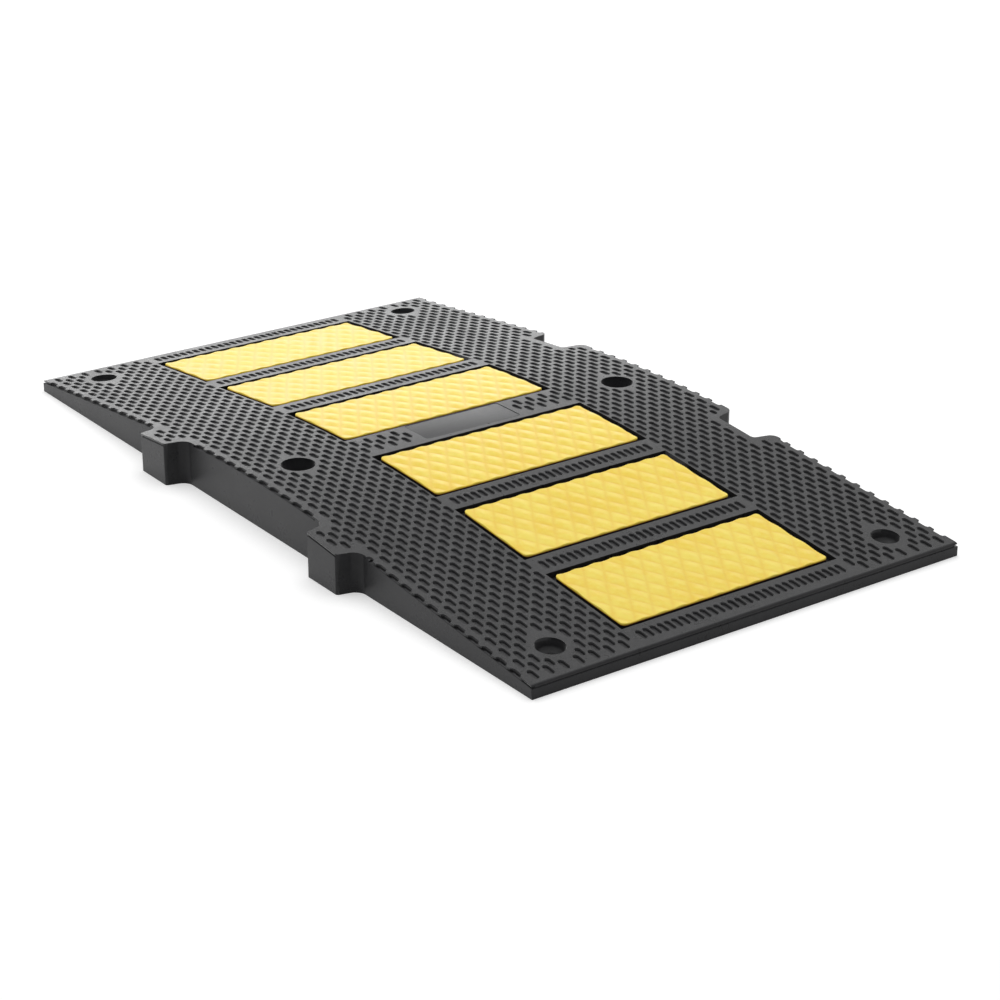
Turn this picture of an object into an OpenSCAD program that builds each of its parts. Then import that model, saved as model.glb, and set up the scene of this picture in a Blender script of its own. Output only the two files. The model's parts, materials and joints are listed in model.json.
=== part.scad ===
// Modular rubber speed hump, middle element
// Frame: X is the direction of travel, Y runs across the road, Z is up.
// The origin is the centre of the module's footprint, on the road surface.
// Two tongues stand out of the -Y side and fit two notches in the +Y side of the next module.

/* [Hump] */
// Length along the direction of travel
hump_l = 900; // [800:10:1200]
// Width of the module across the road, without its tongues
hump_w = 500; // [400:10:700]
// Height of the crest over the road
crest_h = 50; // [42:1:75]
// Height of the blunt end faces
end_h = 13; // [10:0.5:18]
// Half length of the rounded crest between the two straight ramps
crest_half_l = 180; // [100:5:260]
// Radius on the upper edge of each end face
nose_r = 4; // [1:0.5:6]

/* [Tongues and notches] */
// Distance of each tongue and notch from the middle of the hump
tongue_x = 158.5; // [120:0.5:200]
// Reach of a tongue out of the side
tongue_reach = 22; // [12:1:28]
// Half width of a tongue at its outer end
tongue_end_half = 25; // [15:1:30]
// Half width of a tongue where it leaves the side
tongue_root_half = 30; // [30:1:36]
// Radius of the hollow fillet at a tongue's root
tongue_root_r = 12; // [3:1:16]
// Radius on a tongue's outer corners
tongue_corner_r = 3; // [1:0.5:5]
// Free gap between a tongue and its notch
notch_gap = 2.5; // [1:0.25:4]

/* [Bolt holes] */
// Distance from an end face to the holes near it
bolt_to_end = 44; // [34:1:60]
// Distance from a side face to the holes near it
bolt_to_side = 52; // [36:1:58]
// Diameter of the hole for the bolt shank
bolt_d = 14; // [9:0.5:20]
// Diameter of the counterbore at the seat of the bolt head
counterbore_d = 26.5; // [24:0.5:30]
// Draft of the counterbore wall, which opens upward
counterbore_draft = 5.2; // [0:0.1:6]
// Rubber left under each bolt head
seat_t = 8; // [5:0.5:9]

/* [Yellow inserts] */
// Size of an insert along the direction of travel
insert_l = 99; // [70:1:104]
// Size of the outermost inserts across the road
insert_w = 243; // [180:1:256]
// How much wider each insert is than its neighbour further from the crest
insert_w_step = 2; // [0:0.5:4]
// Thickness of an insert
insert_t = 5.7; // [4:0.1:7]
// Distance from the crest line to the centre of the nearest insert
insert_to_crest = 80; // [70:0.5:84]
// Distance from an end face to the centre of the insert near it
insert_to_end = 90; // [84:0.5:96]
// How far the tops of the inserts lie below the surface of the hump
insert_sink = 0; // [0:0.25:2.5]
// Free gap round an insert in its recess
insert_gap = 5.5; // [0.5:0.25:6]
// Thickness of the bond under an insert
bond_t = 0.3; // [0.1:0.1:0.5]
// Repeat of the tile pattern along the direction of travel
tile_l = 34.8; // [28:0.2:48]
// Repeat of the tile pattern across the road
tile_w = 21.8; // [18:0.2:32]
// Depth of the grooves between two strips of tiles
groove_depth = 2; // [0.6:0.1:2.4]
// Width of the grooves at the tile tops
groove_w = 4; // [1.6:0.2:5]

/* [Tread] */
// Distance between the dashes of a tread row
dash_pitch = 20.25; // [18:0.25:28]
// Distance between two tread rows
row_pitch = 8.1; // [7.5:0.1:12]
// Length of a dash
dash_l = 12.6; // [8:0.2:14]
// Width of a dash at the surface
dash_w = 5; // [3:0.2:5.6]
// Depth of a dash
dash_depth = 1.8; // [0.6:0.1:2.4]
// Only one dash in so many is modelled, in each row and from row to row
dash_step = 2; // [2:1:4]
// Smooth border that the dashes leave along the recesses and the sides
tread_border = 4; // [3.5:0.5:8]
// Radius of the smooth ring round each bolt hole
bolt_ring_r = 21.5; // [20:0.5:26]

/* [Underside] */
// Length of an underside pocket
pocket_l = 64; // [40:1:66]
// Width of an underside pocket
pocket_w = 60; // [40:1:62]
// Thickness of the ribs between the pockets
rib_t = 14; // [10:1:24]
// Greatest depth of a pocket
pocket_depth = 20; // [8:1:24]
// Radius of the pocket corners
pocket_r = 6; // [2:1:12]
// Rubber that stays between a pocket and an insert recess
roof_t = 12; // [8:1:16]
// Solid rubber left along the long sides
side_rim = 34; // [32:1:60]
// Solid rubber left round the axis of each bolt hole
boss_r = 26; // [24:1:34]

/* [Hidden] */
// Diameter that the counterbore wall reaches one crest height above the seat
counterbore_top = counterbore_d + 2 * crest_h * tan(counterbore_draft);
// Small overlap that keeps cuts from ending on a face
over = 1;
// Small excess of a rounding's radius, so that its arc crosses the edges at a clean angle
slip = 0.01;
// A pocket shallower than this is left out
least_pocket = 4;
arc_fn = 48;
pocket_arc_fn = 8;

// Slope of the ramps: each straight ramp runs into the rounded crest without a step
ramp_slope = (crest_h - end_h) / (hump_l / 2 - crest_half_l / 2);
ramp_angle = atan(ramp_slope);
tangent_r = crest_half_l / sin(ramp_angle);
crest_edge_h = crest_h - tangent_r * (1 - cos(ramp_angle));
// The crest is a little flatter than the tangent arc and crosses the ramps just outside it
crest_r = 1.01 * tangent_r;
recess_depth = insert_sink + insert_t + bond_t;
// Three inserts share each ramp evenly
insert_pitch = (hump_l / 2 - insert_to_end - insert_to_crest) / 2;
insert_xs = [for (side = [-1, 1]) for (k = side < 0 ? [2, 1, 0] : [0, 1, 2])
             side * (insert_to_crest + k * insert_pitch)];
bolt_spots = [for (x = [-1, 0, 1]) for (y = [-1, 1])
              [x * (hump_l / 2 - bolt_to_end), y * (hump_w / 2 - bolt_to_side)]];

// The tiles lie in slanting strips, and each strip is shifted against the one beside it
tile_angle = atan2(tile_w, tile_l);
tile_reach = norm([tile_l, tile_w]) / 2;
strip_w = tile_l * tile_w / (2 * tile_reach);
strip_shift = (tile_l * tile_l - tile_w * tile_w) / (4 * tile_reach);

// Height of the hump's surface at a distance x from the crest line
function surface_z(x) =
    max(crest_h - crest_r + sqrt(crest_r * crest_r - x * x),
        crest_edge_h - max(abs(x) - crest_half_l, 0) * ramp_slope);

// Slope of the surface along X, as an angle
function surface_angle(x) =
    abs(x) < crest_half_l ? -asin(x / crest_r) : -sign(x) * ramp_angle;

function unit(v) = v / norm(v);

// Width of insert k, counted from the -X end
function width_of(k) = insert_w + insert_w_step * (k < 3 ? k : 5 - k);

// The area between a corner and the arc that rounds it, run past both edges by the overlap
// p is the corner, u and v point along its edges away from it
module spandrel(p, u, v, r, fn = arc_fn) {
    half_angle = acos(u * v) / 2;
    bisector = unit(u + v);
    centre = p + bisector * r / sin(half_angle);
    foot_u = p + u * r / tan(half_angle) - centre;
    foot_v = p + v * r / tan(half_angle) - centre;
    difference() {
        polygon([p - bisector * over / sin(half_angle), centre + foot_u * (1 + over / r),
                 centre, centre + foot_v * (1 + over / r)]);
        translate(centre)
            circle(r = r + slip, $fn = fn);
    }
}

// Side view of the hump, X to the right and Z up, lowered by drop
module hump_profile(drop = 0) {
    end_x = hump_l / 2;
    translate([0, -drop])
        difference() {
            union() {
                polygon([[-end_x, 0], [end_x, 0], [end_x, end_h], [crest_half_l, crest_edge_h],
                         [-crest_half_l, crest_edge_h], [-end_x, end_h]]);
                intersection() {
                    translate([0, crest_h - crest_r])
                        circle(r = crest_r, $fn = 16 * arc_fn);
                    translate([-1.4 * crest_half_l, end_h])
                        square([2.8 * crest_half_l, crest_h - end_h + over]);
                }
            }
            for (side = [-1, 1])
                spandrel([side * end_x, end_h], [0, -1],
                         [-side * cos(ramp_angle), sin(ramp_angle)], nose_r);
        }
}

// The hump's side view drawn out across the road, from y_low to y_high
module hump_length(y_low, y_high, drop = 0) {
    translate([0, y_high, 0])
        rotate([90, 0, 0])
            linear_extrude(height = y_high - y_low)
                hump_profile(drop);
}

// Plan of a tongue, standing out of the line y = 0 towards -Y, or of a notch with gap all round
module tongue_plan(gap = 0) {
    root = tongue_root_half + gap;
    tip = tongue_end_half + gap;
    reach = tongue_reach + gap;
    for (side = [-1, 1]) {
        flank = unit([side * (tip - root), -reach]);
        spandrel([side * root, 0], [side, 0], flank, tongue_root_r - gap);
    }
    difference() {
        polygon([[-root, over], [-root, 0], [-tip, -reach], [tip, -reach], [root, 0], [root, over]]);
        for (side = [-1, 1])
            spandrel([side * tip, -reach], [-side, 0], unit([side * (root - tip), reach]),
                     tongue_corner_r + gap);
    }
}

// The upright block that the hump is cut from: a rectangle with two tongues and two notches
module module_block() {
    h = crest_h + over;
    difference() {
        translate([-hump_l / 2, -hump_w / 2, 0])
            cube([hump_l, hump_w, h]);
        for (side = [-1, 1])
            translate([side * tongue_x, hump_w / 2, -over])
                linear_extrude(height = h + 2 * over)
                    tongue_plan(notch_gap);
    }
    for (side = [-1, 1])
        translate([side * tongue_x, -hump_w / 2, 0])
            linear_extrude(height = h)
                tongue_plan();
}

// Upright block with rounded corners, centred on the Z axis
module rounded_block(l, w, h, r) {
    linear_extrude(height = h)
        difference() {
            square([l, w], center = true);
            for (sx = [-1, 1])
                for (sy = [-1, 1])
                    spandrel([sx * l / 2, sy * w / 2], [-sx, 0], [0, -sy], r, pocket_arc_fn);
        }
}

// Recess for one insert, cut down to a floor that runs parallel to the surface
module insert_recess(k) {
    x = insert_xs[k];
    l = insert_l + 2 * insert_gap;
    w = width_of(k) + 2 * insert_gap;
    difference() {
        translate([x - l / 2, -w / 2, 0])
            cube([l, w, crest_h + over]);
        hump_length(-w / 2 - over, w / 2 + over, recess_depth);
    }
}

// Hole for one bolt, with a deep drafted counterbore that ends at the seat
module bolt_hole(spot) {
    translate([spot[0], spot[1], -over])
        cylinder(d = bolt_d, h = seat_t + 2 * over, $fn = arc_fn);
    translate([spot[0], spot[1], seat_t])
        cylinder(d1 = counterbore_d, d2 = counterbore_top, h = crest_h, $fn = arc_fn);
}

// Depth of the underside pocket at x: the ramp above its outer edge sets it
function depth_at(x) =
    min(pocket_depth, surface_z(abs(x) + pocket_l / 2) - recess_depth - roof_t);

// True where a pocket would come too near a bolt hole
function hits_boss(x, y) =
    len([for (b = bolt_spots)
         if (norm([max(abs(x - b[0]) - pocket_l / 2, 0), max(abs(y - b[1]) - pocket_w / 2, 0)]) < boss_r) b]) > 0;

// Grid of pockets between the ribs of the underside
module underside_pockets() {
    pitch_x = pocket_l + rib_t;
    pitch_y = pocket_w + rib_t;
    columns = floor((hump_l / 2 - pocket_l / 2) / pitch_x);
    rows = floor((hump_w - 2 * side_rim + rib_t) / pitch_y);
    for (i = [-columns:columns])
        for (j = [0:rows - 1]) {
            x = i * pitch_x;
            y = (j - (rows - 1) / 2) * pitch_y;
            if (depth_at(x) >= least_pocket && !hits_boss(x, y))
                translate([x, y, -over])
                    rounded_block(pocket_l, pocket_w, depth_at(x) + over, pocket_r);
        }
}

// Places of the dashes in one side field: rows from the recesses to the side of the hump,
// every second one shifted by half a dash pitch
tread_start = width_of(2) / 2 + insert_gap + tread_border;
field_rows = floor((hump_w / 2 - tread_border - tread_start) / row_pitch);
field_columns = floor((hump_l / 2 - 2 * dash_l) / dash_pitch);
field_spots = [for (row = [0:dash_step:field_rows])
               for (column = [0:field_columns])
               for (side = column > 0 || row % 2 == 1 ? [-1, 1] : [1])
                   if ((column + row / dash_step) % dash_step == 0)
                       [side * (column + (row % 2) / 2) * dash_pitch, tread_start + row * row_pitch]];

// Places of the dashes in the strips between the inserts of a ramp and beyond the outermost ones
strip_rows = floor(insert_w / row_pitch);
strip_spots = [for (side = [-1, 1])
               for (k = [0.5:1:2.5])
               for (row = [0:dash_step:strip_rows - 1])
                   [side * (insert_to_crest + k * insert_pitch),
                    (row + 0.5 - strip_rows / 2) * row_pitch]];

// True where a dash at x, y stays clear of the rings round the bolt holes and of the notches
function dash_fits(x, y) =
    len([for (b = bolt_spots)
         if (norm([max(abs(x - b[0]) - dash_l / 2, 0), y - b[1]]) < bolt_ring_r + dash_w / 2) b]) == 0
    && (y < hump_w / 2 - tongue_reach - notch_gap - tread_border
        || abs(abs(x) - tongue_x) > tongue_root_half + tongue_root_r + dash_l / 2);

// Pocket of one dash, a V that lies along the ramp
module dash_pocket(x, y) {
    translate([x, y, surface_z(x)])
        rotate([0, -surface_angle(x), 0])
            rotate([90, 0, 90])
                linear_extrude(height = dash_l, center = true)
                    polygon([[-dash_w / 2, 0], [-dash_w / 2, over], [dash_w / 2, over],
                             [dash_w / 2, 0], [0, -dash_depth]]);
}

// The dashes of both side fields and of the strips
module tread() {
    for (spot = field_spots)
        for (side = [-1, 1])
            if (dash_fits(spot[0], side * spot[1]))
                dash_pocket(spot[0], side * spot[1]);
    for (spot = strip_spots)
        dash_pocket(spot[0], spot[1]);
}

// The black rubber hump with its tongues, notches, recesses, bolt holes and ribbed underside
module rubber_body() {
    color([0.16, 0.16, 0.17])
        difference() {
            intersection() {
                hump_length(-hump_w / 2 - tongue_reach - over, hump_w / 2 + over);
                module_block();
            }
            for (k = [0:5])
                insert_recess(k);
            for (spot = bolt_spots)
                bolt_hole(spot);
            underside_pockets();
            tread();
        }
}

// V groove along X, centred on the origin
module groove(length, depth) {
    rotate([90, 0, 90])
        linear_extrude(height = length, center = true)
            polygon([[-groove_w / 2, 0], [-groove_w / 2, over], [groove_w / 2, over],
                     [groove_w / 2, 0], [0, -depth]]);
}

// Grooves that cut a plate of width w into staggered tiles: long ones between the strips,
// and shallower cross grooves that end inside them
module tile_grooves(w) {
    reach = norm([insert_l, w]) / 2;
    strips = ceil(reach / strip_w);
    tiles = ceil(reach / tile_reach) + 1;
    for (k = [-strips:strips]) {
        translate([0, (k + 0.5) * strip_w, 0])
            groove(2 * reach, groove_depth);
        shift = (k * strip_shift) % tile_reach;
        for (j = [-tiles:tiles]) {
            along = shift + (j + 0.5) * tile_reach;
            spot = [along * cos(tile_angle) + k * strip_w * sin(tile_angle),
                    k * strip_w * cos(tile_angle) - along * sin(tile_angle)];
            if (abs(spot[0]) < (insert_l + strip_w) / 2 && abs(spot[1]) < (w + strip_w) / 2)
                translate([along, k * strip_w, 0])
                    rotate([0, 0, 90])
                        groove(strip_w, 0.8 * groove_depth);
        }
    }
}

// One yellow insert, bent to the hump and cut into staggered tiles
module yellow_insert(k) {
    x = insert_xs[k];
    w = width_of(k);
    color([0.96, 0.76, 0.18])
        difference() {
            intersection() {
                translate([x - insert_l / 2, -w / 2, 0])
                    cube([insert_l, w, crest_h + over]);
                hump_length(-w / 2 - over, w / 2 + over, insert_sink);
            }
            hump_length(-w / 2 - over, w / 2 + over, insert_sink + insert_t);
            translate([x, 0, surface_z(x) - insert_sink])
                rotate([0, -surface_angle(x), 0])
                    rotate([0, 0, -tile_angle])
                        tile_grooves(w);
        }
}

rubber_body();
yellow_insert(0);  // yellow_insert_1
yellow_insert(1);  // yellow_insert_2
yellow_insert(2);  // yellow_insert_3
yellow_insert(3);  // yellow_insert_4
yellow_insert(4);  // yellow_insert_5
yellow_insert(5);  // yellow_insert_6
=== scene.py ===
"""Looks for a black rubber road hump module with yellow reflective inserts.

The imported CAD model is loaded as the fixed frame. The rubber body gets its
moulded tread of recessed dashes and the lip round its sides, the six inserts
get crowned diamond tiles, and the bare plate on the crest is its own piece.
Lengths are metres in the frame of the CAD model, unless their name ends in mm:
X along the direction of travel, Y across the road, Z up.
"""

import json
import logging
import math
from dataclasses import dataclass, field
from enum import Enum

import bmesh
import bpy
import numpy as np
from bpy.types import ID, Material, Mesh, Node, NodeSocket, NodeTree, Object, World
from mathutils import Matrix, Vector

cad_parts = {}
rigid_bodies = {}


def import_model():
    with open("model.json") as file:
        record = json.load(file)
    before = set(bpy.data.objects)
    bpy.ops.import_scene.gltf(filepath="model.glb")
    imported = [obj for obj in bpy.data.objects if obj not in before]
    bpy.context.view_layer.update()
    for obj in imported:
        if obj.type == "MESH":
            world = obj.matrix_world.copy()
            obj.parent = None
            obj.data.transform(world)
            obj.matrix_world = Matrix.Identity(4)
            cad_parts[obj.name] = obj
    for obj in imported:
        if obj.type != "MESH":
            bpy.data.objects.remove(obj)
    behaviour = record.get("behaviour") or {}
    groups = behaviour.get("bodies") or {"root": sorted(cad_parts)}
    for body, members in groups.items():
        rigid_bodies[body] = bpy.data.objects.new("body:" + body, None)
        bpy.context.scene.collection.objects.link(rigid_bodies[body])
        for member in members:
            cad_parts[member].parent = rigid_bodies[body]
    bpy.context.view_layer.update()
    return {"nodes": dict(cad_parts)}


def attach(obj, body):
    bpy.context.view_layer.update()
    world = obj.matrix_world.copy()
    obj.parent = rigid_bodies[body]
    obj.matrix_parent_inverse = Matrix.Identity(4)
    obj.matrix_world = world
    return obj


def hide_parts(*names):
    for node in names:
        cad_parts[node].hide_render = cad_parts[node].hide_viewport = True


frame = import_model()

MM = 0.001
FAR = 10.0  # a place past every edge of the module
log = logging.getLogger("road_hump")


class Finish(Enum):
    """Material slots of the record."""

    RUBBER = "rubber"
    YELLOW = "yellow"


# Shape of the hump


@dataclass(frozen=True)
class HumpForm:
    """Main sizes of the hump, and its profile of two ramps and a rounded crest."""

    half_length: float = 450 * MM
    half_width: float = 250 * MM
    crest_height: float = 50 * MM
    end_height: float = 13 * MM
    crest_half: float = 180 * MM
    flattening: float = 1.01
    tongues: tuple = (-158.5 * MM, 158.5 * MM)

    def top(self, x: np.ndarray) -> np.ndarray:
        """Gives the height of the riding surface.

        The crest is an arc of a circle whose top is at the crest height.
        Past the arc the surface falls in a straight line to the end height.
        At each x the higher of the two counts.

        Args:
            x: distances from the crest line.

        Returns:
            The height at each x.
        """
        run = self.half_length - self.crest_half / 2
        slope = (self.crest_height - self.end_height) / run
        angle = math.atan(slope)
        tangent_radius = self.crest_half / math.sin(angle)
        radius = self.flattening * tangent_radius
        edge = self.crest_height - tangent_radius * (1 - math.cos(angle))
        arc = self.crest_height - radius + np.sqrt(radius**2 - np.square(x))
        ramp = edge - np.maximum(np.abs(x) - self.crest_half, 0) * slope
        return np.maximum(arc, ramp)

    def normal(self, x: np.ndarray) -> np.ndarray:
        """Gives the upward normals of the riding surface.

        The slope is the rise between two near points over their distance,
        and the normal leans away from it: (-slope, 0, 1), made unit length.

        Args:
            x: distances from the crest line.

        Returns:
            One row of x, y and z for each distance.
        """
        near = 0.5 * MM
        slope = (self.top(x + near) - self.top(x - near)) / (2 * near)
        lean = np.stack([-slope, np.zeros_like(slope), np.ones_like(slope)], -1)
        return lean / np.linalg.norm(lean, axis=-1, keepdims=True)


# Mesh helpers


def link_object(name: str, data: ID) -> Object:
    """Makes an object at the origin and links it to the scene.

    Args:
        name: name of the object.
        data: its mesh, lamp or camera data.

    Returns:
        The object.
    """
    made = bpy.data.objects.new(name, data)
    bpy.context.scene.collection.objects.link(made)
    return made


def mesh_object(name: str, points: np.ndarray, faces: list) -> Object:
    """Makes an object with a new mesh of the same name.

    Args:
        name: name of both.
        points: vertex positions, one row each.
        faces: vertex numbers of each face, counter-clockwise from outside.

    Returns:
        The object, at the origin.
    """
    mesh = bpy.data.meshes.new(name)
    mesh.from_pydata(points.tolist(), [], faces)
    return link_object(name, mesh)


def smooth_by_angle(mesh: Mesh, degrees: float) -> None:
    """Shades a mesh smooth, but keeps its sharpest edges.

    Args:
        mesh: mesh to shade.
        degrees: edges that turn more than this stay sharp.
    """
    mesh.polygons.foreach_set("use_smooth", np.ones(len(mesh.polygons), bool))
    mesh.set_sharp_from_angle(angle=math.radians(degrees))
    mesh.update()


def dress(piece: Object, material: Material, crease: float) -> None:
    """Gives a new piece its looks and lets it ride on the body of the part.

    Args:
        piece: the piece.
        material: material that it shows.
        crease: angle in degrees past which its edges stay sharp.
    """
    piece.data.validate()
    piece.data.materials.append(material)
    smooth_by_angle(piece.data, crease)
    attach(piece, "root")


def read_all(items: object, name: str, kind: type, width: int = 1) -> np.ndarray:
    """Reads one property of every vertex, corner or face of a mesh.

    Args:
        items: Blender's list of the vertices, corners or faces.
        name: name of the property.
        kind: type of its numbers.
        width: how many numbers each item has.

    Returns:
        Rows of numbers, or a flat array where the width is 1.
    """
    flat = np.empty(len(items) * width, kind)
    items.foreach_get(name, flat)
    return flat if width == 1 else flat.reshape(-1, width)


def positions(mesh: Mesh) -> np.ndarray:
    """Gives the vertex positions of a mesh as rows."""
    return read_all(mesh.vertices, "co", np.float32, 3).astype(float)


def add_mask(mesh: Mesh, name: str, values: np.ndarray) -> None:
    """Stores one number per vertex under a name that materials can read."""
    layer = mesh.attributes.new(name, "FLOAT", "POINT")
    layer.data.foreach_set("value", values.astype(np.float32))


def ring_faces(rings: int, per_ring: int) -> np.ndarray:
    """Numbers the quads between closed rings of equal length.

    Ring r holds the vertices from r * per_ring on. Each quad joins two
    neighbours on one ring to the same two on the next ring.

    Args:
        rings: number of rings.
        per_ring: vertices on a ring.

    Returns:
        Rows of four vertex numbers.
    """
    ring, along = np.meshgrid(np.arange(rings - 1), np.arange(per_ring), indexing="ij")
    here = ring * per_ring + along
    beside = ring * per_ring + (along + 1) % per_ring
    return np.stack([here, beside, beside + per_ring, here + per_ring], -1).reshape(-1, 4)


def slab_faces(rows: int, columns: int) -> list:
    """Numbers the faces of a closed slab whose top is a grid.

    The grid's vertices come first, row by row. Two lines of lower vertices
    follow, one under the first column and one under the last. Quads cover
    the top, both long sides and the underside, and one polygon closes each
    end.

    Args:
        rows: rows of the grid.
        columns: columns of the grid.

    Returns:
        Lists of vertex numbers, counter-clockwise from outside.
    """
    first_low, first_high, last = rows * columns, rows * columns + rows, columns - 1
    i, j = np.meshgrid(np.arange(rows - 1), np.arange(last), indexing="ij")
    here = i * columns + j
    top = np.stack([here, here + columns, here + columns + 1, here + 1], -1).reshape(-1, 4)
    i = np.arange(rows - 1)
    near, far = i * columns, (i + 1) * columns
    low, high = first_low + i, first_high + i
    low_side = np.stack([low, low + 1, far, near], -1)
    high_side = np.stack([near + last, far + last, high + 1, high], -1)
    under = np.stack([low, high, high + 1, low + 1], -1)
    first_row = range(columns)
    last_row = range((rows - 1) * columns, rows * columns)
    ends = [
        [first_low, *first_row, first_high],
        [first_high + rows - 1, *reversed(last_row), first_low + rows - 1],
    ]
    return np.concatenate([top, low_side, high_side, under]).tolist() + ends


# Tread of recessed dashes


def spans_about(middles: list | tuple | np.ndarray, half: float) -> list:
    """Gives the start and end of a span about each middle."""
    return [(middle - half, middle + half) for middle in middles]


@dataclass
class DashField:
    """Straight rows of dashes, given as centres and half lengths."""

    shortest: float = 8 * MM
    x: list = field(default_factory=list)
    y: list = field(default_factory=list)
    half: list = field(default_factory=list)

    def add_row(self, y: float, spans: list, keep_out: list) -> None:
        """Adds one row of dashes, cut short or left out where something is in the way.

        Args:
            y: place of the row across the road.
            spans: pairs of start and end along the row.
            keep_out: pairs of start and end that must stay smooth.
        """
        for low, high in spans:
            parts = [(low, high)]
            for block_low, block_high in keep_out:
                parts = [
                    piece
                    for a, b in parts
                    for piece in ((a, min(b, block_low)), (max(a, block_high), b))
                    if piece[1] - piece[0] > self.shortest
                ]
            for a, b in parts:
                self.x.append((a + b) / 2)
                self.y.append(y)
                self.half.append((b - a) / 2)


@dataclass
class Tread:
    """The moulded dashes of the riding surface."""

    form: HumpForm
    pitch_x: float = 20.25 * MM
    pitch_y: float = 8.1 * MM
    dash_length: float = 14.2 * MM
    dash_width: float = 5.0 * MM
    depth: float = 1.9 * MM
    flare: float = 0.6 * MM
    draft: float = 0.35 * MM
    above: float = 1.0 * MM
    round_points: int = 5
    first_row: float = 133 * MM
    end_columns: int = 21
    rows_to_edge: int = 14
    rows_on_tongue: int = 3
    rows_on_crest: int = 11
    strip_rows: int = 30
    strips_mm: tuple = (-430, -290, -150, 150, 290, 430)
    edge_row_y: float = 249.5 * MM
    tongue_clear: float = 42 * MM
    tongue_half: float = 21 * MM
    notch_half: float = 34.5 * MM
    notch_from: float = 221 * MM
    bolts_mm: tuple = ((-406, -198), (-406, 198), (0, -198), (0, 198), (406, -198), (406, 198))
    bolt_ring: float = 21.5 * MM
    crest_low: float = -22.5 * MM
    crest_high: float = 17.5 * MM
    plate_clear: float = 61 * MM
    dashes: DashField = field(default_factory=DashField)

    def row_y(self, row: int) -> float:
        """Gives the distance of a row from the middle of the module."""
        return self.first_row + row * self.pitch_y

    def blocks_at(self, y: float) -> list:
        """Lists what must stay smooth in a row: rings round bolts, and notches.

        Args:
            y: place of the row across the road.

        Returns:
            Pairs of start and end along the row.
        """
        blocks = []
        for bolt_x, bolt_y in self.bolts_mm:
            off = abs(y - bolt_y * MM)
            if off < self.bolt_ring:
                reach = math.sqrt(self.bolt_ring**2 - off**2)
                blocks.extend(spans_about([bolt_x * MM], reach))
        if y > self.notch_from:
            blocks.extend(spans_about(self.form.tongues, self.notch_half))
        return blocks

    def spans_in(self, shifted: bool) -> list:
        """Lists the dashes of a full row.

        Args:
            shifted: whether the row is shifted by half a pitch.

        Returns:
            Pairs of start and end along the row.
        """
        columns = np.arange(-self.end_columns - shifted, self.end_columns + 1) + 0.5 * shifted
        return spans_about(columns * self.pitch_x, self.dash_length / 2)

    def add_side_field(self, side: int) -> None:
        """Adds the rows between the inserts' ends and one edge.

        Args:
            side: -1 for the tongues' side, 1 for the notches' side.
        """
        for row in range(self.rows_to_edge):
            y = side * self.row_y(row)
            self.dashes.add_row(y, self.spans_in(row % 2 == 1), self.blocks_at(y))

    def add_crest(self, side: int) -> None:
        """Adds the short rows on the crest, between a side field and the plate.

        Args:
            side: -1 for the tongues' side, 1 for the notches' side.
        """
        outside = [(-FAR, self.crest_low), (self.crest_high, FAR)]
        centre = (self.crest_low + self.crest_high) / 2
        for row in range(1, self.rows_on_crest + 1):
            y = side * self.row_y(-row)
            if abs(y) > self.plate_clear:
                shift = 0.5 * self.pitch_x * (row % 2) + centre
                spans = [(a + shift, b + shift) for a, b in self.spans_in(False)]
                self.dashes.add_row(y, spans, outside)

    def add_tongues(self) -> None:
        """Adds the rows on both tongues."""
        for row in range(self.rows_to_edge, self.rows_to_edge + self.rows_on_tongue):
            for x in self.form.tongues:
                outside = [(-FAR, x - self.tongue_half), (x + self.tongue_half, FAR)]
                self.dashes.add_row(-self.row_y(row), self.spans_in(row % 2 == 1), outside)

    def add_edge_rows(self) -> None:
        """Adds the dashes that open out through both long edges."""
        clear = spans_about(self.form.tongues, self.tongue_clear)
        spans = self.spans_in(self.rows_to_edge % 2 == 1)
        for side in (-1, 1):
            self.dashes.add_row(side * self.edge_row_y, spans, clear)

    def add_strips(self) -> None:
        """Adds the single columns of dashes between the inserts and at the ends."""
        for x in self.strips_mm:
            span = spans_about([x * MM], self.dash_length / 2)
            for row in range(self.strip_rows):
                self.dashes.add_row((row + 0.5 - self.strip_rows / 2) * self.pitch_y, span, [])

    def place_dashes(self) -> None:
        """Places every dash of the tread."""
        for side in (-1, 1):
            self.add_side_field(side)
            self.add_crest(side)
        self.add_tongues()
        self.add_edge_rows()
        self.add_strips()

    def pocket_rings(self) -> np.ndarray:
        """Works out the three rings of a dash pocket that is as long as it is wide.

        A ring is a circle: the angle runs round, and each point is pushed
        out by half the width along that angle. The first ring lies above
        the surface and is wide, the second is at the foot of the flared rim,
        and the third is the floor, a little narrower for draft. A longer
        pocket pulls the two halves apart by their sign along X.

        Returns:
            Array of ring, point and (sign along X, x, y, z).
        """
        halves = [
            np.linspace(-90, 90, self.round_points),
            np.linspace(90, 270, self.round_points),
        ]
        turn = np.radians(np.concatenate(halves))
        side = np.repeat([1.0, -1.0], self.round_points)
        outset = np.array([self.above + self.flare, 0.0, -self.draft])
        height = np.array([self.above, -self.flare, -self.depth])
        radius = self.dash_width / 2 + outset
        x = radius[:, None] * np.cos(turn)
        y = radius[:, None] * np.sin(turn)
        z = np.repeat(height[:, None], len(turn), 1)
        return np.stack([np.broadcast_to(side, x.shape), x, y, z], -1)

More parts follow.
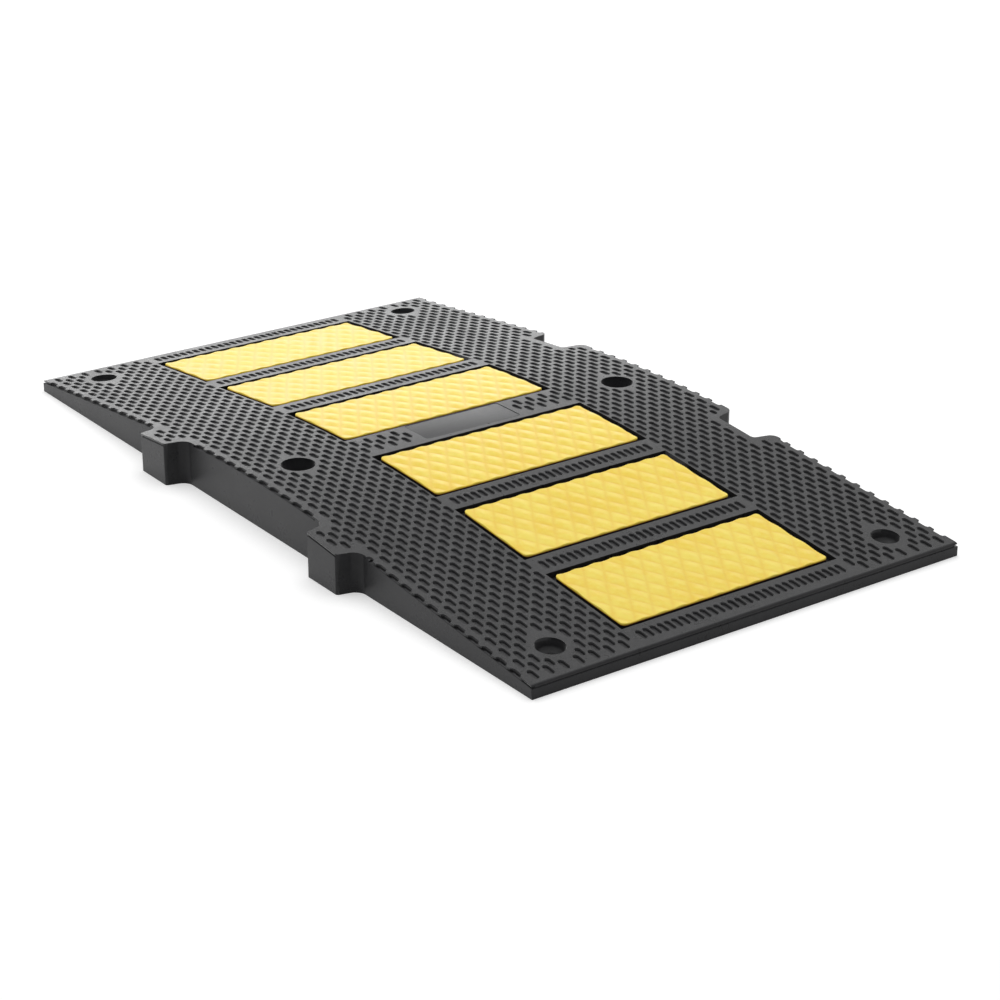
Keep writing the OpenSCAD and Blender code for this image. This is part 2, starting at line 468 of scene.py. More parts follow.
    def cutter(self) -> Object:
        """Builds one closed mesh that holds every dash pocket.

        Each pocket is the three rings, pulled apart along X to the dash's
        length, moved to its centre and lifted to the riding surface. Quads
        join its rings, and one polygon closes it above and one below.

        Returns:
            The cutter.
        """
        self.place_dashes()
        rings = self.pocket_rings()
        levels, per_ring = rings.shape[:2]
        places = (self.dashes.x, self.dashes.y, self.dashes.half)
        x0, y0, half = (np.array(values)[:, None, None] for values in places)
        straight = half - self.dash_width / 2
        x = x0 + rings[..., 0] * straight + rings[..., 1]
        y = y0 + rings[..., 2]
        z = self.form.top(x) + rings[..., 3]
        points = np.stack([x, y, z], -1).reshape(-1, 3)
        start = np.arange(len(x0))[:, None] * levels * per_ring
        walls = (start[..., None] + ring_faces(levels, per_ring)[:, ::-1]).reshape(-1, 4)
        lids = (start + np.arange(per_ring)).tolist()
        floors = (start + (levels - 1) * per_ring + np.arange(per_ring)[::-1]).tolist()
        log.info("tread: %d dashes", len(x0))
        return mesh_object("tread_cutter", points, walls.tolist() + lids + floors)


@dataclass
class Lip:
    """The thin lip of the tread over a groove in the side and end faces."""

    form: HumpForm
    under_top: tuple = (1.4 * MM, 3.4 * MM)
    depth: float = 3.4 * MM
    depth_at_ends: float = 0.9 * MM
    past: float = 1.0 * MM
    between_tongues: float = 113 * MM
    past_tongues: float = 204 * MM
    tongue_half: float = 26 * MM
    tongue_end: float = 272 * MM
    step: float = 6 * MM

    def run(self, x_range: tuple, y_range: tuple) -> tuple:
        """Builds one closed bar that follows the hump below its surface.

        Every few millimetres along the hump stands a rectangle with its low
        and high edge a set distance under the surface, and quads join each
        rectangle to the next.

        Args:
            x_range: start and end along the hump.
            y_range: low and high side across the road.

        Returns:
            Points as rows, and lists of vertex numbers of the faces.
        """
        rows = max(2, round((x_range[1] - x_range[0]) / self.step))
        x = np.linspace(*x_range, rows)[:, None]
        y = np.array([y_range[0], y_range[1], y_range[1], y_range[0]])
        high, low = self.under_top
        z = self.form.top(x) - np.array([low, low, high, high])
        points = np.stack([np.broadcast_to(x, z.shape), np.broadcast_to(y, z.shape), z], -1)
        last = 4 * (rows - 1)
        caps = [[3, 2, 1, 0], [last, last + 1, last + 2, last + 3]]
        return points.reshape(-1, 3), ring_faces(rows, 4).tolist() + caps

    def bars(self, name: str, runs: list) -> Object:
        """Gathers bars that do not touch in one mesh for cutting.

        Args:
            name: name of the cutter.
            runs: pairs of range along the hump and range across the road.

        Returns:
            The cutter.
        """
        points, faces, first = [], [], 0
        for x_range, y_range in runs:
            place, quads = self.run(x_range, y_range)
            points.append(place)
            faces.extend([[first + corner for corner in face] for face in quads])
            first += len(place)
        return mesh_object(name, np.concatenate(points), faces)

    def cutters(self) -> list:
        """Builds the bars along both sides and the tongues, and those along both ends."""
        inner, outer = self.form.half_width - self.depth, self.form.half_width + self.past
        end = self.form.half_length + self.past
        spans = (
            (-end, -self.past_tongues),
            (-self.between_tongues, self.between_tongues),
            (self.past_tongues, end),
        )
        sides = [(span, y) for span in spans for y in ((-outer, -inner), (inner, outer))]
        tongue_y = (-self.tongue_end - self.past, -self.tongue_end + self.depth_at_ends)
        tongues = spans_about(self.form.tongues, self.tongue_half)
        sides.extend((span, tongue_y) for span in tongues)
        inside = self.form.half_length - self.depth_at_ends
        ends = [(span, (-outer, outer)) for span in ((-end, -inside), (inside, end))]
        return [self.bars("side_groove", sides), self.bars("end_groove", ends)]


# Bare plate on the crest


@dataclass
class CrestPlate:
    """Smooth plate that is let into the crest and left bare."""

    form: HumpForm
    low_x: float = -24 * MM
    high_x: float = 18 * MM
    half_y: float = 57.5 * MM
    corner: float = 3 * MM
    corner_points: int = 6
    clear: float = 0.4 * MM
    seat: float = 1.2 * MM
    above: float = 2 * MM
    sunk: float = 0.25 * MM
    edge: float = 0.35 * MM
    edge_points: int = 5
    crease: float = 40

    def outline(self, grow: float) -> np.ndarray:
        """Works out a rectangle with round corners as a closed ring.

        Each corner is a quarter circle about a centre that lies one radius
        inside both edges.

        Args:
            grow: how far the ring lies outside the plate's edge.

        Returns:
            Rows of x and y, counter-clockwise from above.
        """
        radius = self.corner + grow
        quarter = np.linspace(0, math.pi / 2, self.corner_points)
        turn = (np.arange(4)[:, None] * math.pi / 2 + quarter[None]).ravel()
        high, low = self.high_x - self.corner, self.low_x + self.corner
        half = self.half_y - self.corner
        centre_x = np.repeat([high, low, low, high], self.corner_points)
        centre_y = np.repeat([half, half, -half, -half], self.corner_points)
        return np.stack([centre_x + radius * np.cos(turn), centre_y + radius * np.sin(turn)], -1)

    def stack(self, levels: list) -> tuple:
        """Stacks grown outlines at depths below the surface into a closed block.

        Args:
            levels: pairs of growth and depth, from the bottom up.

        Returns:
            Points and faces.
        """
        rings = []
        for grow, depth in levels:
            ring = self.outline(grow)
            rings.append(np.column_stack([ring, self.form.top(ring[:, 0]) - depth]))
        per_ring = len(rings[0])
        faces = ring_faces(len(rings), per_ring).tolist()
        faces.append(list(range(per_ring))[::-1])
        faces.append(list(range((len(rings) - 1) * per_ring, len(rings) * per_ring)))
        return np.concatenate(rings), faces

    def cutter(self) -> Object:
        """Builds the block that cuts the seat."""
        levels = [(self.clear, self.seat), (self.clear, -self.above)]
        return mesh_object("plate_cutter", *self.stack(levels))

    def build(self, material: Material) -> Object:
        """Builds the plate with a rounded upper edge.

        The rings close in along a quarter circle, so that the edge of the
        plate turns from the upright wall into the flat top.

        Args:
            material: rubber of the plate.

        Returns:
            The plate.
        """
        edge = [
            (-self.edge * (1 - math.cos(turn)), self.sunk + self.edge * (1 - math.sin(turn)))
            for turn in np.linspace(0, math.pi / 2, self.edge_points)
        ]
        plate = mesh_object("crest_plate", *self.stack([(0.0, self.seat), *edge]))
        dress(plate, material, self.crease)
        return plate


# Rubber body


@dataclass
class RubberBody:
    """The moulded body: the CAD solid with its tread, lip and seat cut in."""

    form: HumpForm
    tread: Tread
    lip: Lip
    plate: CrestPlate
    name: str = "hump_rubber"
    node: str = "rubber_body"
    merge: float = 0.002 * MM
    on_surface: float = 0.08 * MM
    flat_area: float = 100 * MM * MM
    dash_depths: float = 1.5
    wall_depths: float = 1.2
    beside_inserts: float = 131 * MM
    hole_reach: float = 19 * MM
    crease: float = 28

    def merged_copy(self) -> Object:
        """Copies the CAD solid and joins its loose triangles.

        Returns:
            The copy, with one vertex wherever triangles meet.
        """
        mesh = frame["nodes"][self.node].data.copy()
        mesh.name = self.name
        shell = bmesh.new()
        shell.from_mesh(mesh)
        bmesh.ops.remove_doubles(shell, verts=shell.verts, dist=self.merge)
        open_edges = sum(len(edge.link_faces) != 2 for edge in shell.edges)
        shell.to_mesh(mesh)
        shell.free()
        log.info("body: %d triangles, %d open edges", len(mesh.polygons), open_edges)
        mesh.materials.clear()
        return link_object(self.name, mesh)

    def cut(self, piece: Object, cutters: list) -> None:
        """Cuts the cutters out of the piece and keeps the result as its mesh.

        Args:
            piece: the body.
            cutters: closed objects, which are removed afterwards.
        """
        for cutter in cutters:
            boolean = piece.modifiers.new(cutter.name, "BOOLEAN")
            boolean.operation = "DIFFERENCE"
            boolean.solver = "MANIFOLD"
            boolean.object = cutter
        graph = bpy.context.evaluated_depsgraph_get()
        made = bpy.data.meshes.new_from_object(piece.evaluated_get(graph))
        piece.modifiers.clear()
        piece.data = made
        for cutter in cutters:
            bpy.data.objects.remove(cutter)

    def add_masks(self, mesh: Mesh, below: np.ndarray) -> None:
        """Stores where the dashes, the outer walls and the holes are, which the rubber uses for
        painted shade in the dashes and painted light on the walls and in the holes.

        The depth in a dash is the distance below the surface over the depth
        of the tread, and counts only down to a little past its floor. Walls
        beside the inserts fade in from just below the tread. A vertex is in
        a hole when it is below the surface and near the axis of a bolt.

        Args:
            mesh: mesh of the body.
            below: distance of each vertex below the riding surface.
        """
        place = positions(mesh)
        depth = self.tread.depth
        in_dash = np.clip(below / depth, 0, 1) * (below < self.dash_depths * depth)
        outer = np.abs(place[:, 1]) > self.beside_inserts
        on_wall = np.clip(below / depth - self.wall_depths, 0, 1) * outer
        to_bolts = [
            np.hypot(place[:, 0] - x * MM, place[:, 1] - y * MM) for x, y in self.tread.bolts_mm
        ]
        in_hole = (np.min(to_bolts, axis=0) < self.hole_reach) & (below > self.on_surface)
        add_mask(mesh, "tread_depth", in_dash)
        add_mask(mesh, "under_tread", on_wall)
        add_mask(mesh, "in_hole", in_hole.astype(float))

    def set_normals(self, mesh: Mesh, below: np.ndarray) -> None:
        """Gives the riding surface its exact normals and large flat faces their own.

        A face belongs to the riding surface when every corner lies on it.
        The long thin faces that the cutting leaves there then shade evenly.
        All small faces keep the normals that they share with neighbours.

        Args:
            mesh: mesh of the body, with its sharp edges marked.
            below: distance of each vertex below the riding surface.
        """
        corners = read_all(mesh.loops, "vertex_index", np.int32)
        start = read_all(mesh.polygons, "loop_start", np.int32)
        area = read_all(mesh.polygons, "area", np.float32)
        facing = read_all(mesh.polygons, "normal", np.float32, 3)
        normals = read_all(mesh.corner_normals, "vector", np.float32, 3).astype(float)
        count = np.diff(np.append(start, len(corners)))
        worst = np.maximum.reduceat(np.abs(below[corners]), start)
        riding = np.repeat(worst < self.on_surface, count)
        flat = np.repeat(area > self.flat_area, count)
        normals[flat] = np.repeat(facing, count, axis=0)[flat]
        normals[riding] = self.form.normal(positions(mesh)[corners[riding], 0])
        mesh.normals_split_custom_set(normals.tolist())

    def build(self, material: Material) -> Object:
        """Builds the body, which stands for its CAD node.

        Args:
            material: rubber of the body.

        Returns:
            The body.
        """
        piece = self.merged_copy()
        lips = self.lip.cutters()
        self.cut(piece, [self.tread.cutter(), self.plate.cutter(), *lips])
        mesh = piece.data
        mesh.name = self.name
        place = positions(mesh)
        below = self.form.top(place[:, 0]) - place[:, 2]
        self.add_masks(mesh, below)
        mesh.materials.clear()
        mesh.materials.append(material)
        mesh.polygons.foreach_set("material_index", np.zeros(len(mesh.polygons), np.int32))
        smooth_by_angle(mesh, self.crease)
        self.set_normals(mesh, below)
        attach(piece, "root")
        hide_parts(self.node)
        return piece


# Yellow inserts


@dataclass
class YellowInserts:
    """Six bonded inserts with crowned diamond tiles."""

    form: HumpForm
    length: float = 99 * MM
    widths_mm: tuple = (243, 245, 247, 247, 245, 243)
    first_x: float = 80 * MM
    pitch: float = 140 * MM
    per_side: int = 3
    proud: float = 0.5 * MM
    thick: float = 6.2 * MM
    layer: float = 2.1 * MM
    corner: float = 4.5 * MM
    edge: float = 0.9 * MM
    tile_l: float = 34.8 * MM
    tile_w: float = 21.8 * MM
    crown: float = 1.05 * MM
    bulge: float = 1.45
    seam_power: int = 5
    step: float = 1.0 * MM
    edge_lines_mm: tuple = (0, 0.3, 0.6, 0.9)
    inner_lines_from: float = 1.6
    crease: float = 50

    def centres(self) -> list:
        """Lists the inserts' centres along the hump, from the far end to the near end."""
        one_side = [self.first_x + k * self.pitch for k in range(self.per_side)]
        return [-x for x in reversed(one_side)] + one_side

    def lines(self, size: float) -> np.ndarray:
        """Gives grid lines across a side, closer together at both edges.

        Args:
            size: length of the side.

        Returns:
            Distances from the middle of the side.
        """
        near = np.array(self.edge_lines_mm) * MM
        margin = self.edge * self.inner_lines_from
        inner = np.linspace(margin, size - margin, round(size / self.step))
        return np.concatenate([near, inner, size - near[::-1]]) - size / 2

    def relief(self, u: np.ndarray, v: np.ndarray) -> tuple:
        """Works out the depth of the tile pattern.

        A diamond net has two sets of parallel seams. Along each set the
        place is counted in tiles, as u / length + v / width for one and
        u / length - v / width for the other. How far a point is from the
        middle of its tile, from 0 to 1 at the seam, is raised to a power
        that sets how round the tile is. One less this value falls off in
        each count, and the two multiplied make the pillow of the tile.

        Args:
            u: distances along the hump from the insert's centre.
            v: distances across the road.

        Returns:
            Depth below the tile tops, and a mask that grows to 1 in the seams.
        """
        height, seam = 1.0, 0.0
        for count in (u / self.tile_l + v / self.tile_w, u / self.tile_l - v / self.tile_w):
            off = 2 * np.abs(count - np.round(count))
            height = height * (1 - off**self.bulge)
            seam = np.maximum(seam, off**self.seam_power)
        return self.crown * (1 - height), seam

    def half_width(self, u: np.ndarray, width: float) -> np.ndarray:
        """Gives the half width at u of a rectangle whose corners are round.

        Past the start of the corner the half width shrinks along a quarter
        circle: by the radius less the root of its square minus the square
        of how far u is past that start.

        Args:
            u: distances along the hump from the insert's centre.
            width: width of the insert.

        Returns:
            The half width at each distance.
        """
        past = np.clip(np.abs(u) - (self.length / 2 - self.corner), 0, self.corner)
        return width / 2 - self.corner + np.sqrt(self.corner**2 - past**2)

    def to_edge(self, u: np.ndarray, v: np.ndarray, width: float) -> np.ndarray:
        """Gives the distance to the outline with round corners, from inside.

        Args:
            u: distances along the hump from the insert's centre.
            v: distances across the road.
            width: width of the insert.

        Returns:
            The distance at each point.
        """
        over_u = np.abs(u) - (self.length / 2 - self.corner)
        over_v = np.abs(v) - (width / 2 - self.corner)
        outside = np.hypot(np.maximum(over_u, 0), np.maximum(over_v, 0))
        return self.corner - outside - np.minimum(np.maximum(over_u, over_v), 0)

    def rounding(self, distance: np.ndarray) -> np.ndarray:
        """Gives the drop of a quarter-round edge at a distance from the side."""
        inside = np.clip(self.edge - distance, 0, self.edge)
        return self.edge - np.sqrt(self.edge**2 - inside**2)

    def build_one(self, number: int, x0: float, material: Material) -> Object:
        """Builds one insert as a closed slab bent to the hump.

        The top is a grid over the insert's length and width, drawn in at the
        corners so that they are round. Its height is the riding surface, plus
        what it stands proud, less the relief and the rounded edges. The
        underside follows the hump at the insert's thickness.

        Args:
            number: number of the CAD node.
            x0: centre of the insert along the hump.
            material: yellow material.

        Returns:
            The insert, which stands for its CAD node.
        """
        width = self.widths_mm[number - 1] * MM
        across, along = self.lines(width), self.lines(self.length)
        u, v = np.meshgrid(along, across, indexing="ij")
        half = self.half_width(along, width)
        v = v * half[:, None] / (width / 2)
        depth, seams = self.relief(u, v)
        drop = self.rounding(self.to_edge(u, v, width))
        z = self.form.top(x0 + u) + self.proud - depth - drop
        floor_z = self.form.top(x0 + along) + self.proud - self.thick
        low = np.stack([x0 + along, -half, floor_z], -1)
        high = low * [1, -1, 1]
        top = np.stack([x0 + u, v, z], -1).reshape(-1, 3)
        points = np.concatenate([top, low, high])
        piece = mesh_object(f"insert_tiles_{number}", points, slab_faces(*u.shape))
        below = self.form.top(points[:, 0]) + self.proud - points[:, 2]
        # groove carries the dirt and painted shade of the seams; layer_depth carries the painted
        # shade and the black core of the sides
        groove = np.concatenate([seams.ravel(), np.zeros(len(low) + len(high))])
        add_mask(piece.data, "groove", groove)
        add_mask(piece.data, "layer_depth", below / self.layer)
        dress(piece, material, self.crease)
        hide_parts(f"yellow_insert_{number}")
        return piece

    def build(self, material: Material) -> list:
        """Builds all six inserts."""
        return [self.build_one(k + 1, x, material) for k, x in enumerate(self.centres())]


# Shader groups and materials


@dataclass
class Nodes:
    """Short way to place and link shader nodes in one tree."""

    tree: NodeTree

    def add(self, kind: str, values: dict | None = None, **settings: object) -> Node:
        """Adds a node.

        Args:
            kind: Blender's name of the node type.
            values: input name or number to a value or to another node's output.
            settings: properties of the node itself.

        Returns:
            The node.
        """
        node = self.tree.nodes.new(kind)
        for name, value in settings.items():
            setattr(node, name, value)
        for name, value in (values or {}).items():
            if isinstance(value, NodeSocket):
                self.tree.links.new(value, node.inputs[name])
            else:
                node.inputs[name].default_value = value
        return node

    def maths(self, operation: str, first: object, second: object = 0.0) -> NodeSocket:
        """Adds a Math node and gives its result."""
        return self.add("ShaderNodeMath", {0: first, 1: second}, operation=operation).outputs[0]

    def mix(self, factor: object, first: object, second: object) -> NodeSocket:
        """Mixes two colours and gives the result."""
        values = {"Factor": factor, 6: first, 7: second}
        return self.add("ShaderNodeMix", values, data_type="RGBA").outputs[2]

    def ramp(self, value: object, limits: tuple) -> NodeSocket:
        """Stretches the range between two limits to 0 to 1, with soft ends."""
        values = {"Value": value, "From Min": limits[0], "From Max": limits[1]}
        return self.add("ShaderNodeMapRange", values, interpolation_type="SMOOTHSTEP").outputs[0]

    def mask(self, name: str) -> NodeSocket:
        """Reads a number that the mesh stores at its vertices."""
        return self.add("ShaderNodeAttribute", attribute_name=name).outputs["Fac"]

    def noise(self, place: object, scale: object, detail: float, roughness: float) -> NodeSocket:
        """Adds a noise texture and gives its value, from 0 to 1."""
        values = {"Vector": place, "Scale": scale, "Detail": detail, "Roughness": roughness}
        return self.add("ShaderNodeTexNoise", values).outputs[0]


def empty_nodes(owner: Material | World) -> Nodes:
    """Turns on the shader nodes of a material or world, and clears them."""
    owner.use_nodes = True
    owner.node_tree.nodes.clear()
    return Nodes(owner.node_tree)


@dataclass(frozen=True)
class SharedEffects:
    """Node groups that both rubbers use."""

    cloud_limits: tuple = (0.34, 0.66)
    pore_spacing: float = 0.35
    pore_limits: tuple = (0.04, 0.22)
    streak_stretch: tuple = (0.12, 1.0, 1.0)
    streak_limits: tuple = (0.55, 0.75)

    def start(self, name: str, inputs: dict, output: str) -> tuple:
        """Makes a shader node group with a vector and some values going in.

        Args:
            name: name of the group.
            inputs: name of each value to its default.
            output: name of the one value that comes out.

        Returns:
            The group's Nodes helper, its inputs and the socket of its output.
        """
        group = bpy.data.node_groups.new(name, "ShaderNodeTree")
        socket = group.interface.new_socket
        socket("Vector", in_out="INPUT", socket_type="NodeSocketVector")
        for title, value in inputs.items():
            socket(title, in_out="INPUT", socket_type="NodeSocketFloat").default_value = value
        socket(output, in_out="OUTPUT", socket_type="NodeSocketFloat")
        nodes = Nodes(group)
        given = nodes.add("NodeGroupInput").outputs
        return nodes, given, nodes.add("NodeGroupOutput").inputs[output]

    def mottle(self) -> NodeTree:
        """Cloudy variation in two sizes, as a value from 0 to 1."""
        nodes, given, out = self.start(
            "cloudy_mottle", {"Size": 25.0, "Fine Size": 160.0, "Fine Share": 0.4}, "Value"
        )
        broad = nodes.noise(given["Vector"], given["Size"], detail=3.0, roughness=0.55)
        fine = nodes.noise(given["Vector"], given["Fine Size"], detail=4.0, roughness=0.6)
        broad_share = nodes.maths("SUBTRACT", 1.0, given["Fine Share"])
        total = nodes.maths(
            "ADD",
            nodes.maths("MULTIPLY", broad, broad_share),
            nodes.maths("MULTIPLY", fine, given["Fine Share"]),
        )
        nodes.tree.links.new(nodes.ramp(total, self.cloud_limits), out)
        return nodes.tree

    def grain(self) -> NodeTree:
        """Fine moulded grain with sparse pores, as a height whose pores reach below 0."""
        nodes, given, out = self.start("moulded_grain", {"Size": 900.0, "Pores": 0.5}, "Height")
        grain = nodes.noise(given["Vector"], given["Size"], detail=5.0, roughness=0.65)
        pore_size = nodes.maths("MULTIPLY", given["Size"], self.pore_spacing)
        pores = nodes.add("ShaderNodeTexVoronoi", {"Vector": given["Vector"], "Scale": pore_size})
        pits = nodes.ramp(pores.outputs["Distance"], self.pore_limits)
        pitted = nodes.maths("MULTIPLY", nodes.maths("SUBTRACT", pits, 1.0), given["Pores"])
        nodes.tree.links.new(nodes.maths("ADD", grain, pitted), out)
        return nodes.tree

    def scuffs(self) -> NodeTree:
        """Faint rubbed streaks along the direction of travel, as a mask."""
        nodes, given, out = self.start("travel_scuffs", {"Size": 60.0}, "Mask")
        drawn = nodes.add(
            "ShaderNodeMapping", {"Vector": given["Vector"], "Scale": self.streak_stretch}
        )
        streaks = nodes.noise(drawn.outputs[0], given["Size"], detail=6.0, roughness=0.7)
        nodes.tree.links.new(nodes.ramp(streaks, self.streak_limits), out)
        return nodes.tree

    def groups(self) -> dict:
        """Builds all groups, under the names that the finishes use."""
        return {"mottle": self.mottle(), "grain": self.grain(), "scuffs": self.scuffs()}


@dataclass(frozen=True)
class MouldedFinish:
    """What both rubbers share: a mottled roughness, a moulded grain and a soft sheen."""

    name: str
    roughness: float
    roughness_change: float
    grain_height: float
    grain_depth: float
    ior: float
    sheen: float
    sheen_roughness: float = 0.3

    def colour(self, nodes: Nodes, effects: dict) -> NodeSocket:
        """Works out the colour from the outputs of the shared groups."""
        raise NotImplementedError

    def make(self, groups: dict) -> Material:
        """Builds the material.

        Args:
            groups: shared node groups by name.

        Returns:
            The material.
        """
        material = bpy.data.materials.new(self.name)
        nodes = empty_nodes(material)
        place = nodes.add("ShaderNodeTexCoord").outputs["Object"]
        effects = {
            name: nodes.add("ShaderNodeGroup", {"Vector": place}, node_tree=tree).outputs[0]
            for name, tree in groups.items()
        }
        change = nodes.maths("MULTIPLY", effects["mottle"], self.roughness_change)
        bump = {
            "Height": effects["grain"],
            "Strength": self.grain_height,
            "Distance": self.grain_depth,
        }
        surface = {
            "Base Color": self.colour(nodes, effects),
            "Roughness": nodes.maths("ADD", change, self.roughness),
            "Normal": nodes.add("ShaderNodeBump", bump).outputs[0],
            "IOR": self.ior,
            "Sheen Weight": self.sheen,
            "Sheen Roughness": self.sheen_roughness,
        }
        shader = nodes.add("ShaderNodeBsdfPrincipled", surface)
        nodes.add("ShaderNodeOutputMaterial", {"Surface": shader.outputs[0]})
        return material


@dataclass(frozen=True)
class RubberFinish(MouldedFinish):
    """Black moulded rubber: dark in the mass, with a dull grey bloom on top, painted shade in the
    dashes and painted light on the side walls and in the bolt holes.
    """

    roughness: float = 0.26
    roughness_change: float = 0.1
    grain_height: float = 0.25
    grain_depth: float = 0.4 * MM
    ior: float = 1.28
    sheen: float = 0.6
    dark: tuple = (0.0085, 0.0085, 0.0095, 1)
    light: tuple = (0.0155, 0.0155, 0.017, 1)
    # painted light: paler colour for the side walls beside the inserts and for the bolt holes
    wall: tuple = (0.034, 0.034, 0.036, 1)
    # grey bloom on upward faces; left out of the dashes, where its absence is painted shade
    bloom_and_dash_shade: tuple = (0.035, 0.035, 0.037, 1)
    bloom_share: float = 0.35
    even_bloom: float = 0.35
    facing_up: tuple = (0.2, 0.9)
    facing_ends: tuple = (0.2, 0.8)
    uses_tread: bool = True

    def colour(self, nodes: Nodes, effects: dict) -> NodeSocket:
        """Works out the colour: bloom on top, left out of the dashes as painted shade, and a
        paler colour on the side walls and in the holes as painted light.

        Args:
            nodes: helper for the material's tree.
            effects: output of each shared group by name.

        Returns:
            The colour.
        """
        colour = nodes.mix(effects["mottle"], self.dark, self.light)
        normal = nodes.add("ShaderNodeNewGeometry").outputs["Normal"]
        facing = nodes.add("ShaderNodeSeparateXYZ", {0: normal}).outputs
        bloom_and_dash_shade = nodes.maths("ADD", effects["scuffs"], self.even_bloom)
        bloom_and_dash_shade = nodes.maths("MULTIPLY", bloom_and_dash_shade, nodes.ramp(facing["Z"], self.facing_up))
        # painted shade: the bloom is left out of the dash pockets, so they stay darker as if
        # shaded
        if self.uses_tread:
            outside_dash = nodes.maths("SUBTRACT", 1.0, nodes.mask("tread_depth"))
            bloom_and_dash_shade = nodes.maths("MULTIPLY", bloom_and_dash_shade, outside_dash)
        bloom_and_dash_shade = nodes.maths("MULTIPLY", bloom_and_dash_shade, self.bloom_share)
        colour = nodes.mix(bloom_and_dash_shade, colour, self.bloom_and_dash_shade)
        # painted light: walls facing across the road, below the tread and beside the inserts, and
        # the bolt holes get the paler wall colour
        along = nodes.ramp(nodes.maths("ABSOLUTE", facing["X"]), self.facing_ends)
        sideways = nodes.maths("SUBTRACT", 1.0, along)
        painted_light = nodes.maths("MULTIPLY", nodes.mask("under_tread"), sideways)
        painted_light = nodes.maths("MAXIMUM", painted_light, nodes.mask("in_hole"))
        return nodes.mix(painted_light, colour, self.wall)


@dataclass(frozen=True)
class YellowFinish(MouldedFinish):
    """Yellow reflective layer on black rubber, with dirt and painted shade in the seams and
    painted shade on the sides just under the layer.
    """

    name: str = "yellow_insert_rubber"
    roughness: float = 0.3
    roughness_change: float = 0.12
    grain_height: float = 0.2
    grain_depth: float = 0.3 * MM
    ior: float = 1.3
    sheen: float = 0.06
    deep: tuple = (0.95, 0.68, 0.062, 1)
    bright: tuple = (0.97, 0.78, 0.125, 1)
    dirt_and_shade: tuple = (0.82, 0.45, 0.035, 1)
    dirt_and_shade_share: float = 0.34
    worn: tuple = (0.80, 0.62, 0.22, 1)
    worn_share: float = 0.12
    # painted shade: darker orange-brown for the insert's side just under the yellow layer
    wall: tuple = (0.42, 0.16, 0.012, 1)
    wall_limits: tuple = (0.86, 0.98)
    core: tuple = (0.009, 0.009, 0.01, 1)
    core_limits: tuple = (1.1, 1.3)

    def colour(self, nodes: Nodes, effects: dict) -> NodeSocket:
        """Works out the colour: seams darkened by dirt and painted shade, worn streaks, painted
        shade on the sides just under the layer, and the core below it.

        Args:
            nodes: helper for the material's tree.
            effects: output of each shared group by name.

        Returns:
            The colour.
        """
        colour = nodes.mix(effects["mottle"], self.deep, self.bright)
        # dirt and painted shade: the seams of the tiles turn a darker orange
        dirt_and_shade = nodes.maths("MULTIPLY", nodes.mask("groove"), self.dirt_and_shade_share)
        colour = nodes.mix(dirt_and_shade, colour, self.dirt_and_shade)
        worn = nodes.maths("MULTIPLY", effects["scuffs"], self.worn_share)
        colour = nodes.mix(worn, colour, self.worn)
        depth = nodes.mask("layer_depth")
        # painted shade on the insert's side just under the yellow layer
        colour = nodes.mix(nodes.ramp(depth, self.wall_limits), colour, self.wall)
        return nodes.mix(nodes.ramp(depth, self.core_limits), colour, self.core)


# Studio


@dataclass(frozen=True)
class Lamp:
    """A soft rectangular lamp that faces the origin."""

    name: str
    place: tuple
    size: tuple
    watts: float

    def hang(self) -> None:
        """Adds the lamp to the scene."""
        light = bpy.data.lights.new(self.name, "AREA")
        light.shape = "RECTANGLE"
        light.size, light.size_y = self.size
        light.energy = self.watts
        lamp = link_object(self.name, light)
        lamp.location = self.place
        lamp.rotation_euler = (-Vector(self.place)).to_track_quat("-Z", "Y").to_euler()


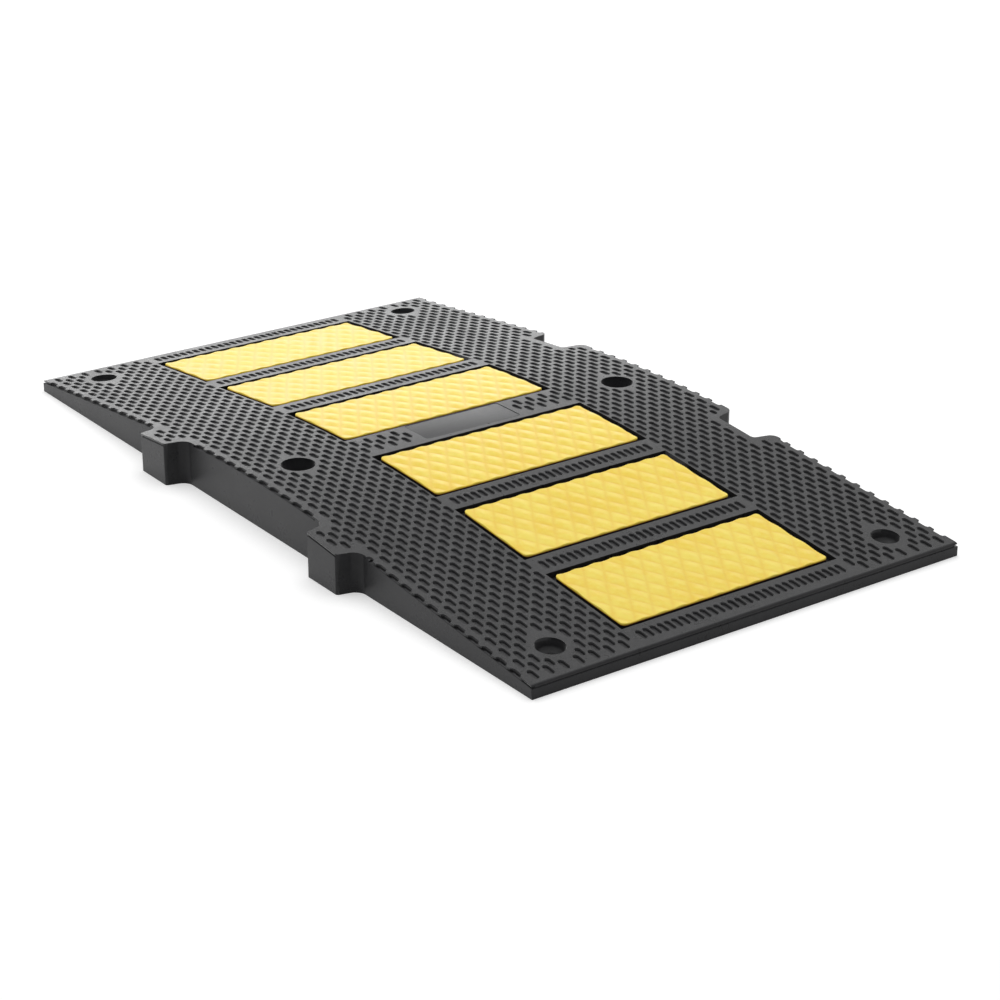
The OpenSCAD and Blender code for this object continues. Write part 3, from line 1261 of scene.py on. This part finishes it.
@dataclass
class Studio:
    """Pale floor, white surround, soft lamps and the camera."""

    azimuth: float = 53.81
    elevation: float = 23.07
    roll: float = 0.24
    camera_at: tuple = (1.8937, -1.3402, 0.9513)
    focal_mm: float = 88.19
    sensor_mm: float = 36
    ambient: float = 0.45
    floor_half: float = 6.0
    floor_colour: tuple = (0.8, 0.8, 0.8, 1)
    floor_glow: float = 0.40
    lamps: tuple = (
        Lamp("overhead_soft", (-0.5, 0.3, 2.4), (2.4, 2.4), 36.5),
        Lamp("behind_low", (-2.2, 1.55, 0.8), (2.6, 1.2), 7),
        Lamp("left_low", (-1.9, -1.1, 0.5), (1.0, 0.6), 1.5),
        Lamp("far_glow", (-2.5, 1.27, 0.52), (1.8, 0.5), 5),
    )

    def seen_white(self, nodes: Nodes) -> NodeSocket:
        """Gives 1 for camera, glossy and transmission rays, and 0 for the rest.

        Args:
            nodes: helper for the tree that asks.

        Returns:
            The value.
        """
        path = nodes.add("ShaderNodeLightPath").outputs
        seen = nodes.maths("MAXIMUM", path["Is Camera Ray"], path["Is Glossy Ray"])
        return nodes.maths("MAXIMUM", seen, path["Is Transmission Ray"])

    def surround(self) -> None:
        """Makes a world that looks white and lights the object softly."""
        world = bpy.data.worlds.new("studio_white")
        nodes = empty_nodes(world)
        seen = nodes.maths("MULTIPLY", self.seen_white(nodes), 1.0 - self.ambient)
        strength = nodes.maths("ADD", seen, self.ambient)
        light = nodes.add("ShaderNodeBackground", {"Color": (1, 1, 1, 1), "Strength": strength})
        nodes.add("ShaderNodeOutputWorld", {"Surface": light.outputs[0]})
        bpy.context.scene.world = world

    def floor(self) -> None:
        """Makes the floor: matt white, with a glow that only the eye and gloss see."""
        corners = np.array([[-1, -1, 0], [1, -1, 0], [1, 1, 0], [-1, 1, 0]]) * self.floor_half
        floor = mesh_object("studio_floor", corners, [[0, 1, 2, 3]])
        material = bpy.data.materials.new("floor_white")
        nodes = empty_nodes(material)
        matt = nodes.add("ShaderNodeBsdfDiffuse", {"Color": self.floor_colour})
        strength = nodes.maths("MULTIPLY", self.seen_white(nodes), self.floor_glow)
        glow = nodes.add("ShaderNodeEmission", {"Strength": strength})
        both = nodes.add("ShaderNodeAddShader", {0: matt.outputs[0], 1: glow.outputs[0]})
        nodes.add("ShaderNodeOutputMaterial", {"Surface": both.outputs[0]})
        floor.data.materials.append(material)

    def camera(self) -> None:
        """Sets up the camera from its azimuth, elevation, roll and place."""
        az, el, roll = (math.radians(v) for v in (self.azimuth, self.elevation, self.roll))
        ahead = Vector((-math.sin(az) * math.cos(el), math.cos(az) * math.cos(el), -math.sin(el)))
        right = Vector((math.cos(az), math.sin(az), 0))
        up = right.cross(ahead)
        turned_right = right * math.cos(roll) + up * math.sin(roll)
        turned_up = up * math.cos(roll) - right * math.sin(roll)
        turned = Matrix((turned_right, turned_up, -ahead)).transposed().to_4x4()
        data = bpy.data.cameras.new("photo_camera")
        data.sensor_width = self.sensor_mm
        data.lens = self.focal_mm
        camera = link_object("photo_camera", data)
        camera.matrix_world = Matrix.Translation(self.camera_at) @ turned
        bpy.context.scene.camera = camera

    def build(self) -> None:
        """Sets up the whole studio."""
        self.surround()
        self.floor()
        for lamp in self.lamps:
            lamp.hang()
        self.camera()


def main() -> None:
    """Builds the dressed hump and the studio."""
    logging.basicConfig(level=logging.INFO, format="%(name)s: %(message)s")
    bpy.context.scene.view_settings.view_transform = "Standard"
    groups = SharedEffects().groups()
    form = HumpForm()
    plate = CrestPlate(form)
    body = RubberBody(form, Tread(form), Lip(form), plate)
    smooth = RubberFinish(
        "smooth_plate", light=(0.03, 0.03, 0.032, 1), roughness=0.34, uses_tread=False
    )
    pieces = [
        body.build(RubberFinish("moulded_rubber").make(groups)),
        plate.build(smooth.make(groups)),
        *YellowInserts(form).build(YellowFinish().make(groups)),
    ]
    for piece in pieces:
        log.info("%s: %d faces", piece.name, len(piece.data.polygons))
    Studio().build()


if __name__ == "__main__":
    main()
